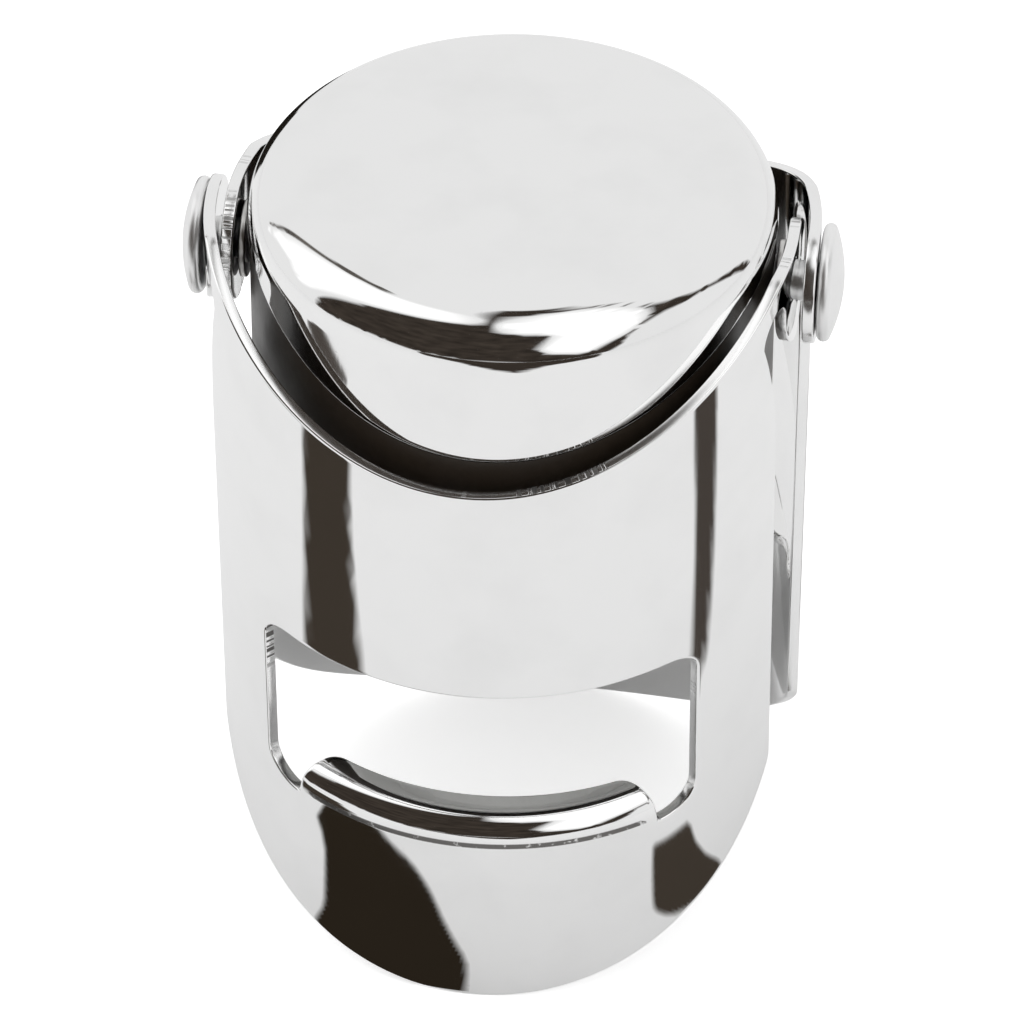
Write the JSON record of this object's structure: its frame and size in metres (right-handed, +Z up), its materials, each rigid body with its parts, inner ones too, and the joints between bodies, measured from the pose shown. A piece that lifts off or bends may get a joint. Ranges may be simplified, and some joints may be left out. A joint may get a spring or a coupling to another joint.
{
  "type": "bottle stopper",
  "caption": "Sparkling-wine bottle stopper: polished cap, sprung rubber seal and hinged half-round wings whose hooks catch under the bottle's ring.",
  "frame": {"origin": "On the stopper's axis at the level of the ring of the seal that lies on the bottle's mouth, with the spring at rest; it is the upper end of the plug.", "axes": "+Z up along the bottle's axis, X along the wings' pivot, -Y towards the front wing."},
  "size_m": [0.0492, 0.0434, 0.0654],
  "materials": {
    "polished_steel": "mirror polished",
    "plain_steel": "bright drawn",
    "black_plastic": "moulded, slightly satin",
    "ivory_plastic": "moulded",
    "grey_rubber": "matt moulded"
  },
  "bodies": {
    "body": {"cap": "polished_steel", "core": "black_plastic", "left_rivet": "polished_steel", "right_rivet": "polished_steel", "left_washer": "plain_steel", "right_washer": "plain_steel", "spring": "plain_steel"},
    "front_wing": {"front_wing": "polished_steel"},
    "rear_wing": {"rear_wing": "polished_steel"},
    "plunger": {"plunger": "ivory_plastic", "seal": "grey_rubber", "retaining_screw": "plain_steel", "stop_washer": "plain_steel"}
  },
  "joints": [
    {"name": "front_wing_hinge", "type": "hinge", "parent": "body", "child": "front_wing", "pos_m": [0, 0, 0.024], "axis": [-1, 0, 0], "range_deg": [-4, 90]},
    {"name": "rear_wing_hinge", "type": "hinge", "parent": "body", "child": "rear_wing", "pos_m": [0, 0, 0.024], "axis": [1, 0, 0], "range_deg": [-4, 90]},
    {"name": "seal_slide", "type": "slide", "parent": "body", "child": "plunger", "axis": [0, 0, 1], "range_m": [0, 0.003], "stiffness_N_per_m": 4000, "springref_m": -0.004, "deforming": ["spring"]}
  ]
}
